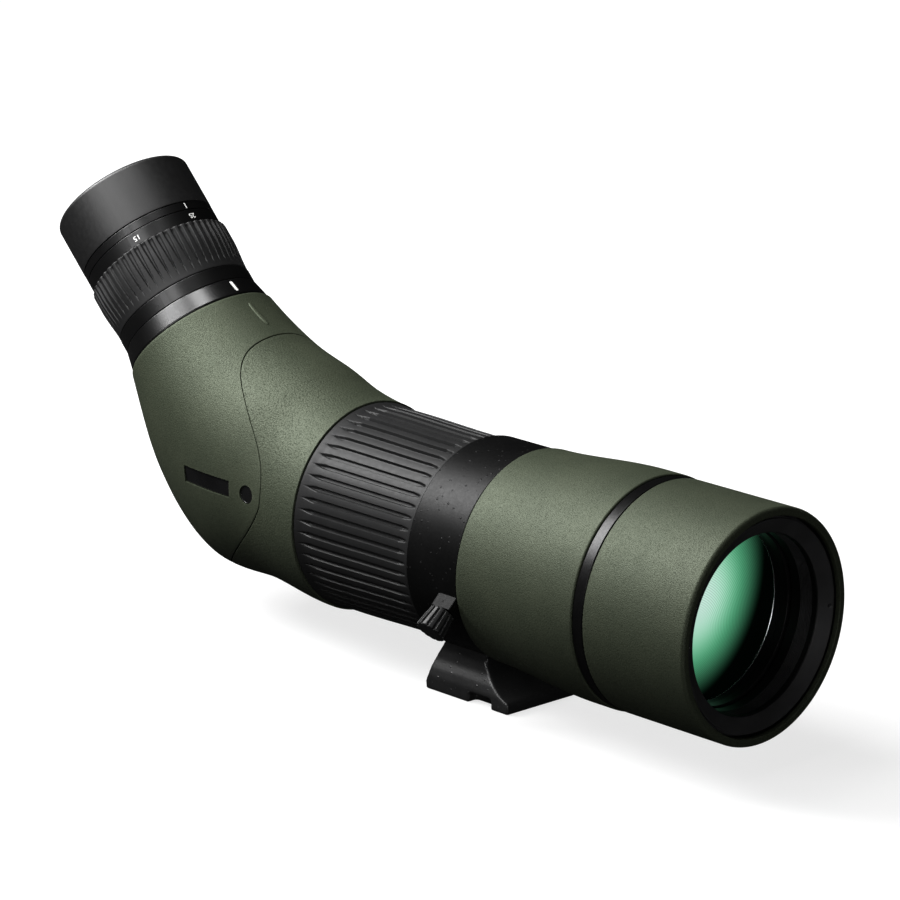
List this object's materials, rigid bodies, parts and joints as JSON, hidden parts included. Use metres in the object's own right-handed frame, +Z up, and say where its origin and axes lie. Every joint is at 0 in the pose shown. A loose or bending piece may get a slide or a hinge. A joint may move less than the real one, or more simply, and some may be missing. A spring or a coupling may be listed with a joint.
{
  "type": "angled spotting scope",
  "caption": "Angled spotting scope with a zoom eyepiece, a barrel focus ring, a pull-out sunshade and a turning tripod collar with a foot.",
  "frame": {"origin": "centre of the mouth of the threaded tripod socket, on the flat underside of the collar's foot", "axes": "+X along the barrel towards the objective, +Z up from the foot through the optical axis, +Y to the left of a user who looks along +X"},
  "size_m": [0.3608, 0.0946, 0.1693],
  "materials": {
    "black_casting": "fine powder coat, matt",
    "black_anodised": "black anodised, satin",
    "gloss_black": "gloss black",
    "green_rubber": "fine pebbled, matt",
    "black_rubber": "matt",
    "seal_rubber": "smooth",
    "bare_aluminium": "machined",
    "cast_magnesium": "dark cast",
    "brass": "machined",
    "steel": "plain",
    "spring_steel": "plain",
    "black_plastic": "matt",
    "objective_glass": "green multicoated",
    "clear_glass": "multicoated",
    "plate_black": "gloss, blank"
  },
  "bodies": {
    "tripod_collar": {"tripod_collar": "black_casting", "tripod_bushing": "brass", "detent_ball": "steel", "detent_spring": "spring_steel", "detent_screw": "steel", "lock_shoe": "brass"},
    "lock_knob": {"lock_knob": "black_casting", "lock_screw": "steel"},
    "optic_body": {"main_tube": "black_anodised", "collar_retainer": "black_anodised", "objective_barrel": "black_anodised", "front_ring": "black_anodised", "objective_cell": "black_anodised", "lens_retainer": "black_anodised", "lens_spacer": "bare_aluminium", "front_lens": "objective_glass", "middle_lens": "clear_glass", "rear_lens": "clear_glass", "trim_ring": "gloss_black", "bell_armor": "green_rubber", "prism_housing": "cast_magnesium", "housing_armor_front": "green_rubber", "housing_armor_rear": "green_rubber", "name_plate": "plate_black", "side_badge": "plate_black", "roof_prism": "clear_glass", "prism_cradle": "cast_magnesium", "prism_clamp": "spring_steel", "prism_screws": "steel", "eyepiece_mount": "bare_aluminium", "eyepiece_base": "black_anodised", "eyepiece_barrel": "black_anodised", "index_ring": "black_anodised", "field_lens": "clear_glass", "eye_lens": "clear_glass", "eye_lens_retainer": "black_anodised", "body_seals": "seal_rubber"},
    "sunshade": {"shade_tube": "black_anodised", "shade_armor": "green_rubber", "shade_stop": "black_anodised"},
    "focus_ring": {"focus_core": "black_anodised", "focus_grip": "black_rubber"},
    "focus_carriage": {"focus_cell": "black_anodised", "focus_lens": "clear_glass", "focus_pin": "steel"},
    "eyepiece_lock": {"eyepiece_lock_ring": "black_anodised"},
    "zoom_ring": {"zoom_core": "black_anodised", "zoom_grip": "black_rubber", "zoom_cam_tube": "brass", "zoom_drive_screw": "steel"},
    "zoom_group_front": {"zoom_front_cell": "black_anodised", "zoom_front_lens": "clear_glass"},
    "zoom_group_rear": {"zoom_rear_cell": "black_anodised", "zoom_rear_lens": "clear_glass"},
    "eyecup_guide": {"eyecup_guide": "black_plastic"},
    "eyecup": {"eyecup_core": "black_plastic", "eyecup_rubber": "black_rubber"}
  },
  "joints": [
    {"name": "collar_rotation", "type": "hinge", "parent": "tripod_collar", "child": "optic_body", "pos_m": [0, 0, 0.0553], "axis": [1, 0, 0], "continuous": true},
    {"name": "lock_knob_turn", "type": "hinge", "parent": "tripod_collar", "child": "lock_knob", "pos_m": [0.008, -0.041, 0.0409], "axis": [0, -0.7193, -0.6947], "range_deg": [0, 270]},
    {"name": "sunshade_slide", "type": "slide", "parent": "optic_body", "child": "sunshade", "axis": [1, 0, 0], "range_m": [0, 0.033]},
    {"name": "focus_turn", "type": "hinge", "parent": "optic_body", "child": "focus_ring", "pos_m": [-0.045, 0, 0.0553], "axis": [1, 0, 0], "range_deg": [-150, 150]},
    {"name": "focus_shift", "type": "slide", "parent": "optic_body", "child": "focus_carriage", "axis": [1, 0, 0], "range_m": [-0.0075, 0.0075]},
    {"name": "eyepiece_lock_turn", "type": "hinge", "parent": "optic_body", "child": "eyepiece_lock", "pos_m": [-0.1708, 0, 0.1048], "axis": [-0.7071, 0, 0.7071], "range_deg": [-30, 0]},
    {"name": "zoom_turn", "type": "hinge", "parent": "optic_body", "child": "zoom_ring", "pos_m": [-0.18635, 0, 0.12035], "axis": [-0.7071, 0, 0.7071], "range_deg": [-76, 50]},
    {"name": "zoom_front_shift", "type": "slide", "parent": "optic_body", "child": "zoom_group_front", "axis": [-0.7071, 0, 0.7071], "range_m": [-0.00483, 0.00318]},
    {"name": "zoom_rear_shift", "type": "slide", "parent": "optic_body", "child": "zoom_group_rear", "axis": [-0.7071, 0, 0.7071], "range_m": [-0.00199, 0.00302]},
    {"name": "eyecup_turn", "type": "hinge", "parent": "optic_body", "child": "eyecup_guide", "pos_m": [-0.20262, 0, 0.13662], "axis": [-0.7071, 0, 0.7071], "range_deg": [0, 90]},
    {"name": "eyecup_rise", "type": "slide", "parent": "eyecup_guide", "child": "eyecup", "axis": [-0.7071, 0, 0.7071], "range_m": [0, 0.01201]}
  ],
  "couplings": [
    {"joint": "focus_shift", "follows": "focus_turn", "m_per_rad": 0.0028648},
    {"joint": "zoom_front_shift", "follows": "zoom_turn", "m_per_rad": 0.003638},
    {"joint": "zoom_rear_shift", "follows": "zoom_turn", "m_per_rad": -0.00227},
    {"joint": "eyecup_rise", "follows": "eyecup_turn", "m_per_rad": 0.007639}
  ]
}
